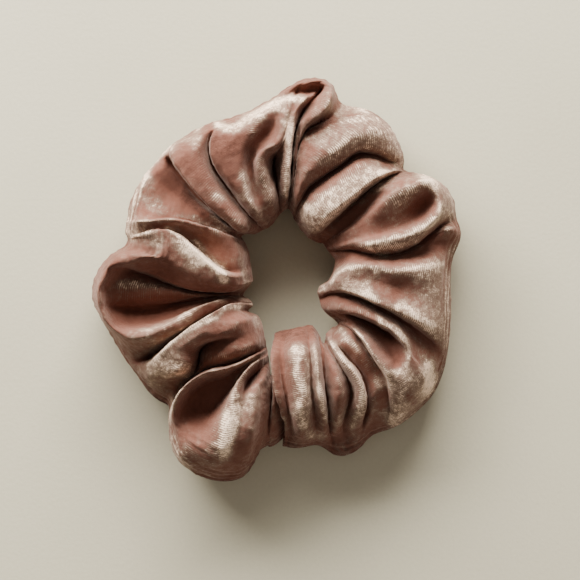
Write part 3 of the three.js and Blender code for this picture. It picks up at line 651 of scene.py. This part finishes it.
def velvet_material():
    m = Nodes("crushed velvet")
    rest = m.attr("rest", True)                     # mm, so it stays on the cloth when it stretches
    pile_and_painted_light, bend, hollow_shade_and_bounce, rib = m.attr("pile_and_painted_light"), m.attr("bend"), m.attr("hollow_shade_and_bounce"), m.attr("rib")
    crush = m.noise(rest, 0.20, 4, 0.62, 0.9)       # patches some 5 mm across
    fleck = m.noise(rest, 0.75, 3, 0.6, 0.4)        # flecks of 1 to 2 mm
    fuzz = m.noise(rest, 3.6, 2, 0.6)               # tufts
    sway = m.noise(rest, 0.5, 2, 0.5)
    turn = m.mul(m.add(rib, m.mul(sway, 0.30), m.mul(fleck, 0.12)), 2 * math.pi / 0.62)
    wale = m.math("SINE", turn)                     # -1 between ribs, 1 on a rib
    # how far the cloth bends over a crest or into a crease; below, the colour is lightened over crests (painted
    # highlight) and darkened in creases (painted shade), and the ribs are raised over crests in the bump
    over = m.math("MAXIMUM", bend, 0.0)
    ridge = m.math("MINIMUM", over, 1.0)
    crease_shade = m.math("MINIMUM", m.mul(m.math("MINIMUM", bend, 0.0), -1.0), 1.0)
    # how far the pile lies over (-1 stands, 1 flat and bright), with painted light added in: lighter over crests, where
    # the ribs are also drawn stronger as painted glints (painted highlight), and darker in creases and hollows (painted
    # shade)
    broken = m.span(m.add(m.mul(crush, 0.5), m.mul(fleck, 0.5)), 0.40, 0.60, 0.15, 1.0)
    flat = m.math("MAXIMUM", pile_and_painted_light, 0.0)
    lie_and_painted_light = m.add(
        pile_and_painted_light,
        m.mul(m.add(crush, -0.5), m.add(2.3, m.mul(flat, -1.1))),
        m.mul(m.add(fleck, -0.5), m.add(1.9, m.mul(flat, -0.1))),
        m.mul(m.add(fuzz, -0.5), m.add(1.2, m.mul(flat, 1.3))),
        m.mul(ridge, 0.30),
        m.mul(m.mul(wale, broken), m.add(0.08, m.mul(ridge, 0.50))),
        m.mul(crease_shade, -0.25),
        m.mul(hollow_shade_and_bounce, -0.30),
    )
    at = m.span(lie_and_painted_light, -1.9, 1.26, 0.0, 1.0)
    shown = m.ramp(at, [
        (0.00, (0.040, 0.012, 0.007)),
        (0.253, (0.102, 0.036, 0.024)),
        (0.417, (0.120, 0.046, 0.032)),
        (0.567, (0.134, 0.060, 0.043)),
        (0.686, (0.160, 0.092, 0.067)),
        (0.791, (0.214, 0.140, 0.101)),
        (0.895, (0.360, 0.250, 0.182)),
        (1.00, (0.840, 0.625, 0.465)),
    ])
    # painted bounce light: in the hollows between the gathers the colour is mixed towards a brighter saturated rose,
    # standing in for light thrown between the folds; it fades where the patches are darkest and where the cloth is
    # already light
    painted_bounce = m.t.nodes.new("ShaderNodeMix")
    painted_bounce.data_type = "RGBA"
    m._set(painted_bounce, "Factor", m.mul(m.mul(hollow_shade_and_bounce, m.span(pile_and_painted_light, -1.3, -0.6, 0.0, 0.75)), m.span(lie_and_painted_light, -0.1, 0.45, 1.0, 0.0)))
    m.t.links.new(shown, painted_bounce.inputs[6])
    painted_bounce.inputs[7].default_value = (0.188, 0.070, 0.047, 1)
    colour = painted_bounce.outputs[2]
    m._set(m.bsdf, "Base Color", colour)
    m._set(m.bsdf, "Roughness", m.span(m.add(at, m.mul(m.add(fuzz, -0.5), 0.25)), 0.35, 1.0, 0.86, 0.50))
    m.bsdf.inputs["Specular IOR Level"].default_value = 0.32
    m.bsdf.inputs["Sheen Weight"].default_value = 0.30
    m.bsdf.inputs["Sheen Roughness"].default_value = 0.38
    m.bsdf.inputs["Sheen Tint"].default_value = (1.0, 0.74, 0.62, 1)
    m.bsdf.inputs["Specular Tint"].default_value = (1.0, 0.84, 0.72, 1)
    height = m.add(
        m.mul(m.mul(wale, broken), m.add(0.05, m.mul(ridge, 0.28))),
        m.mul(fuzz, 0.9),
        m.mul(fleck, 1.3),
    )
    m._set(m.bsdf, "Normal", m.bump(height, 0.00014))
    return m.mat


def elastic_material():
    m = Nodes("braided elastic")
    at = m.t.nodes.new("ShaderNodeUVMap")
    at.uv_map = "band"
    sep = m.t.nodes.new("ShaderNodeSeparateXYZ")
    m.t.links.new(at.outputs[0], sep.inputs[0])
    u, v = sep.outputs[0], sep.outputs[1]           # mm along and across the band
    fold = m.math("PINGPONG", v, 0.75)
    chev = m.math("SINE", m.mul(m.add(u, m.mul(fold, 1.1)), 2 * math.pi / 0.9))
    pos = m.t.nodes.new("ShaderNodeTexCoord").outputs["Object"]
    soil = m.noise(pos, 260, 3)
    tone = m.add(m.mul(chev, 0.10), soil)
    m._set(m.bsdf, "Base Color", m.ramp(tone, [(0.3, (0.60, 0.55, 0.47)), (0.7, (0.82, 0.79, 0.72))]))
    m._set(m.bsdf, "Roughness", m.span(soil, 0.3, 0.7, 0.7, 0.9))
    m._set(m.bsdf, "Normal", m.bump(chev, 0.00008))
    return m.mat


def thread_material():
    m = Nodes("sewing thread")
    at = m.t.nodes.new("ShaderNodeUVMap")
    at.uv_map = "thread"
    sep = m.t.nodes.new("ShaderNodeSeparateXYZ")
    m.t.links.new(at.outputs[0], sep.inputs[0])
    ply = m.math("SINE", m.mul(m.add(m.mul(sep.outputs[0], 2.2), m.mul(sep.outputs[1], 2.0)), 2 * math.pi))
    m._set(m.bsdf, "Base Color", m.ramp(m.add(0.5, m.mul(ply, 0.5)), [(0.0, (0.16, 0.045, 0.032)), (1.0, (0.40, 0.17, 0.125))]))
    m._set(m.bsdf, "Roughness", m.span(ply, -1.0, 1.0, 0.62, 0.42))
    m.bsdf.inputs["Sheen Weight"].default_value = 0.15
    m._set(m.bsdf, "Normal", m.bump(ply, 0.00004))
    return m.mat


# ---------------------------------------------------------------------------------------------
# The velvet tube
# ---------------------------------------------------------------------------------------------
base_rows, line_at = build_sleeve()
fine_rows, attrs = finish_sleeve(base_rows, line_at)
rows, attrs = turn_hem(fine_rows, attrs)
sleeve = mesh_from_rows("velvet_sleeve", rows)
for key in ("pile_and_painted_light", "bend", "hollow_shade_and_bounce", "rib"):
    put(sleeve.data, key, attrs[key])
put(sleeve.data, "rest", rows.reshape(-1, 3), "FLOAT_VECTOR")
area = sum(p.area for p in sleeve.data.polygons)
print("SLEEVE area cm2", round(area * 1e4, 1), "verts", len(sleeve.data.vertices), "faces", len(sleeve.data.polygons))
sleeve.data.materials.append(velvet_material())

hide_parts("sleeve_mouth_side", "sleeve_tail_side", "sleeve_far_side")

# ---------------------------------------------------------------------------------------------
# The elastic: one flat braided loop, its ends lapped beside the closing seam
# ---------------------------------------------------------------------------------------------
CENTRE = np.array([3.1, 1.4])
INNER = [11.4, 12.9, 14.3, 13.7, 13.3, 13.2, 12.9, 13.2, 14.9, 17.2, 17.2, 14.9, 14.9, 16.0, 15.4, 13.2, 12.0, 11.2,
         10.6, 10.4, 11.2, 12.0, 12.9, 13.4, 14.3, 17.7, 16.3, 15.2, 15.2, 15.4, 18.9, 16.6, 12.6, 9.7, 9.7, 10.6]
BAND_W, BAND_T, BAND_LEVEL = 6.0, 0.9, 8.6


def band_radius(deg):
    x = np.linspace(-4, 4, 33)
    at = (deg / 10 + x) % 36
    return float(np.mean(np.interp(at, np.arange(37), INNER + INNER[:1]))) + 10.0


def ease(a, b, x):
    s = min(max((x - a) / (b - a), 0), 1)
    return s * s * (3 - 2 * s)


def band_at(deg, lap):
    """Centre of the band, and its outward direction in plan. lap is 0 on the inner layer, 1 on the outer."""
    r = band_radius(deg) + 1.3 * lap + 5.6 * math.exp(-(((deg % 360) - 260) / 20) ** 2)     # clears the cleft beside the mouth
    d = np.array([math.cos(math.radians(deg)), math.sin(math.radians(deg))])
    return CENTRE + r * d, d


def build_band():
    # from 248 degrees, all the way round and 27 degrees past: the first stretch is the outer layer
    degs = np.linspace(248, 635, 420)
    prof = []
    n = 26
    for k in range(n):                            # outer face, ribbed along its length
        y = -BAND_W / 2 + BAND_W * (k + 0.5) / n
        prof.append((BAND_T / 2 - 0.10 + 0.10 * math.cos(2 * math.pi * (y / 0.75)), y))
    for k in range(n):
        y = BAND_W / 2 - BAND_W * (k + 0.5) / n
        prof.append((-BAND_T / 2 + 0.10 - 0.10 * math.cos(2 * math.pi * (y / 0.75)), y))
    verts, uvs, run = [], [], 0.0
    last = None
    for deg in degs:
        lap = 1 - ease(278, 293, deg)
        c, d = band_at(deg, lap)
        if last is not None:
            run += np.linalg.norm(c - last)
        last = c
        for x, y in prof:
            q = c + d * x
            verts.append((q[0] * MM, q[1] * MM, (BAND_LEVEL + y) * MM))
            uvs.append((run, y + BAND_W / 2 + (0.4 if x < 0 else 0)))
    m, faces = len(prof), []
    for i in range(len(degs) - 1):
        for j in range(m):
            a, b = i * m + j, i * m + (j + 1) % m
            faces.append((a, b, b + m, a + m))
    faces.append(tuple(reversed(range(m))))
    faces.append(tuple((len(degs) - 1) * m + j for j in range(m)))
    me = bpy.data.meshes.new("flat_elastic")
    me.from_pydata(verts, [], faces)
    me.polygons.foreach_set("use_smooth", np.ones(len(faces), bool))
    layer = me.uv_layers.new(name="band")
    loops = np.zeros(len(me.loops), int)
    me.loops.foreach_get("vertex_index", loops)
    layer.data.foreach_set("uv", np.array(uvs)[loops].ravel())
    ob = bpy.data.objects.new("flat_elastic", me)
    bpy.context.scene.collection.objects.link(ob)
    me.materials.append(elastic_material())
    return ob


def stitches(name, paths, radius, material):
    """Short lengths of thread, one along each path (mm), as one mesh."""
    verts, faces, uvs = [], [], []
    sides = 8
    for pts in paths:
        p = np.array(pts, float)
        tang = np.gradient(p, axis=0)
        tang /= np.linalg.norm(tang, axis=1)[:, None] + 1e-9
        ref = np.array([0, 0, 1.0]) if abs(tang[0][2]) < 0.8 else np.array([1.0, 0, 0])
        base, run = len(verts), 0.0
        m = len(p)
        for i in range(m):
            side = np.cross(tang[i], ref)
            side /= np.linalg.norm(side) + 1e-9
            up = np.cross(side, tang[i])
            r = radius * (0.35 if i in (0, m - 1) else (0.8 if i in (1, m - 2) else 1.0))
            if i:
                run += np.linalg.norm(p[i] - p[i - 1])
            for k in range(sides):
                a = 2 * math.pi * k / sides
                q = p[i] + r * (math.cos(a) * side + math.sin(a) * up)
                verts.append(tuple(q * MM))
                uvs.append((run, k / sides))
            if i:
                for k in range(sides):
                    a, b = base + (i - 1) * sides + k, base + (i - 1) * sides + (k + 1) % sides
                    faces.append((a, a + sides, b + sides, b))
        faces.append(tuple(base + k for k in range(sides)))
        faces.append(tuple(base + (m - 1) * sides + k for k in reversed(range(sides))))
    me = bpy.data.meshes.new(name)
    me.from_pydata(verts, [], faces)
    me.polygons.foreach_set("use_smooth", np.ones(len(faces), bool))
    layer = me.uv_layers.new(name="thread")
    loops = np.zeros(len(me.loops), int)
    me.loops.foreach_get("vertex_index", loops)
    layer.data.foreach_set("uv", np.array(uvs)[loops].ravel())
    ob = bpy.data.objects.new(name, me)
    bpy.context.scene.collection.objects.link(ob)
    me.materials.append(material)
    return ob


def along_path(points, length, gap, lift, sink, normals=None):
    """Cut a path into stitches: each is length long, gap apart, bowed up by lift along its normal."""
    p = np.array(points, float)
    d = np.concatenate([[0], np.cumsum(np.linalg.norm(np.diff(p, axis=0), axis=1))])
    nn = np.array(normals, float) if normals is not None else np.tile([0, 0, 1.0], (len(p), 1))
    out, at = [], 0.6
    while at + length < d[-1]:
        s = np.linspace(at, at + length, 7)
        q = np.stack([np.interp(s, d, p[:, i]) for i in range(3)], 1)
        m = np.stack([np.interp(s, d, nn[:, i]) for i in range(3)], 1)
        bow = np.sin(np.linspace(0, math.pi, 7)) * (lift + sink) - sink
        out.append(q + m * bow[:, None])
        at += length + gap
    return out


band = build_band()
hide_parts("elastic_inner_end", "elastic_outer_end", "elastic_far_side")
thread = thread_material()

# the closing seam: topstitches round the mouth, just inside the hem's fold
nrm = surface_normals(fine_rows)
if nrm[:, N_FLAP + 20:N_FLAP + 60, 2].mean() < 0:
    nrm = -nrm
col = 2
keep = slice(N_FLAP + 2, N_FLAP + N_OVER + N_UNDER - 2)
closing = stitches("closing_stitches", along_path(fine_rows[col, keep], 2.1, 0.7, 0.20, 0.16, nrm[col, keep]), 0.2, thread)
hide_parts("closing_seam_thread")

# the long seam: stitches through the two layers of the allowance, inside the outer edge
mid = (fine_rows[:, N_FLAP - 2] + fine_rows[:, -(N_FLAP - 1)]) / 2
long_seam = stitches("long_seam_stitches", along_path(mid[8:-8], 2.0, 0.9, 0.45, 0.0), 0.18, thread)
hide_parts("long_seam_thread_mouth_side", "long_seam_thread_tail_side", "long_seam_thread_far_side")

# the elastic's ends, oversewn
wrap = []
for k in range(9):
    deg = 254 + 2.0 * k
    pts = []
    for i in range(15):
        a = 2 * math.pi * i / 15
        c, d = band_at(deg + 1.2 * i / 15, 0.5)
        r = (1.3 + BAND_T) / 2 + 0.22
        h = BAND_W / 2 + 0.22
        x = r * np.sign(math.cos(a)) * abs(math.cos(a)) ** 0.4
        z = h * np.sign(math.sin(a)) * abs(math.sin(a)) ** 0.4
        q = c + d * x
        pts.append((q[0], q[1], BAND_LEVEL + z))
    wrap.append(pts)
lap = stitches("elastic_lap_stitches", wrap, 0.2, thread)
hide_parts("elastic_lap_thread")

for piece in (sleeve, band, closing, long_seam, lap):
    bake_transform(piece)

# ---------------------------------------------------------------------------------------------
# Stage
# ---------------------------------------------------------------------------------------------
cam_data = bpy.data.cameras.new("camera")
cam = bpy.data.objects.new("camera", cam_data)
bpy.context.scene.collection.objects.link(cam)
VIEW_W = 580 * 0.286 * MM
CAM_H = 1.3
cam.location = (0.00372, -0.00286, CAM_H)
cam.rotation_euler = (0, 0, 0)
cam_data.sensor_width = 36
cam_data.lens = 36 * (CAM_H - 0.012) / VIEW_W
bpy.context.scene.camera = cam

fl = bpy.data.meshes.new("floor")
S, BACK = 3.0, 0.57        # the card ends under the window light
fl.from_pydata([(-S, -S, 0), (S, -S, 0), (S, BACK, 0), (-S, BACK, 0)], [], [(0, 1, 2, 3)])
floor = bpy.data.objects.new("floor", fl)
bpy.context.scene.collection.objects.link(floor)
g = Nodes("white card")
where = g.t.nodes.new("ShaderNodeTexCoord").outputs["Object"]
cloud = g.noise(where, 9.0, 3, 0.5)
grain = g.noise(where, 900.0, 2, 0.5)
g._set(g.bsdf, "Base Color", g.ramp(g.add(g.mul(cloud, 0.7), g.mul(grain, 0.3)),
                                    [(0.3, (0.475, 0.430, 0.310)), (0.7, (0.540, 0.491, 0.362))]))
g._set(g.bsdf, "Roughness", g.span(cloud, 0.3, 0.7, 0.72, 0.82))
g._set(g.bsdf, "Normal", g.bump(grain, 0.00004))
fl.materials.append(g.mat)


def area_light(name, loc, target, size, power, color):
    d = bpy.data.lights.new(name, "AREA")
    d.shape = "RECTANGLE"
    d.size, d.size_y = size
    d.energy = power
    d.color = color
    o = bpy.data.objects.new(name, d)
    bpy.context.scene.collection.objects.link(o)
    o.location = loc
    o.rotation_euler = (Vector(target) - Vector(loc)).to_track_quat("-Z", "Y").to_euler()
    return o


area_light("window", (-0.15, 0.58, 0.315), (0, 0, 0.01), (0.95, 0.32), 33.5, (1.0, 0.985, 0.93))
area_light("room", (0.55, -0.62, 0.34), (0, 0, 0.01), (0.9, 0.4), 2.0, (1.0, 0.90, 0.80))
world = bpy.data.worlds.new("world")
bpy.context.scene.world = world
world.use_nodes = True
world.node_tree.nodes["Background"].inputs[0].default_value = (1.0, 0.95, 0.88, 1)
world.node_tree.nodes["Background"].inputs[1].default_value = 0.25
